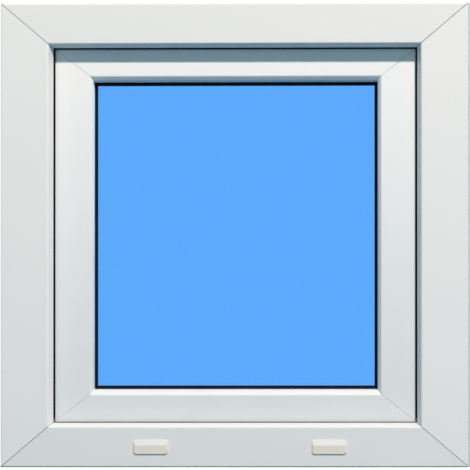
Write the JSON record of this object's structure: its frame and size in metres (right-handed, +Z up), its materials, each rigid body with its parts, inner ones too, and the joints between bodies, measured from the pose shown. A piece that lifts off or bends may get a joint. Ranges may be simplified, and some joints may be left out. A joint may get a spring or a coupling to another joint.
{
  "type": "tilt and turn window",
  "caption": "Nearly square white plastic tilt and turn window, shut: mitred frame, inward opening sash, blue double glazing, black seals, low drain caps, lever handle and hinges.",
  "frame": {"origin": "middle of the outer frame's bottom face, the face it stands on in the wall opening", "axes": "+Z up, -Y to the weather side, +Y to the room, +X to the right seen from outside"},
  "size_m": [0.6, 0.1306, 0.594],
  "materials": {
    "white_pvc": "satin white extruded plastic",
    "black_rubber": "matt black",
    "glass": "clear, blue tint",
    "spacer_metal": "mill",
    "cap_plastic": "bone white moulded plastic",
    "white_coating": "white powder coat",
    "hinge_plastic": "white moulded covers"
  },
  "bodies": {
    "root": {"frame_head": "white_pvc", "frame_sill": "white_pvc", "frame_left_jamb": "white_pvc", "frame_right_jamb": "white_pvc", "sash_top_rail": "white_pvc", "sash_bottom_rail": "white_pvc", "sash_left_stile": "white_pvc", "sash_right_stile": "white_pvc", "glazing_bead_top": "white_pvc", "glazing_bead_bottom": "white_pvc", "glazing_bead_left": "white_pvc", "glazing_bead_right": "white_pvc", "frame_gasket": "black_rubber", "sash_gasket": "black_rubber", "glazing_gasket": "black_rubber", "bead_gasket_top": "black_rubber", "bead_gasket_bottom": "black_rubber", "bead_gasket_left": "black_rubber", "bead_gasket_right": "black_rubber", "outer_pane": "glass", "inner_pane": "glass", "spacer_bar": "spacer_metal", "drain_cap_left": "cap_plastic", "drain_cap_right": "cap_plastic", "handle_rosette": "white_coating", "handle_lever": "white_coating", "corner_bearing": "hinge_plastic", "corner_band": "hinge_plastic", "stay_bearing": "hinge_plastic", "stay_band": "hinge_plastic"}
  },
  "joints": []
}
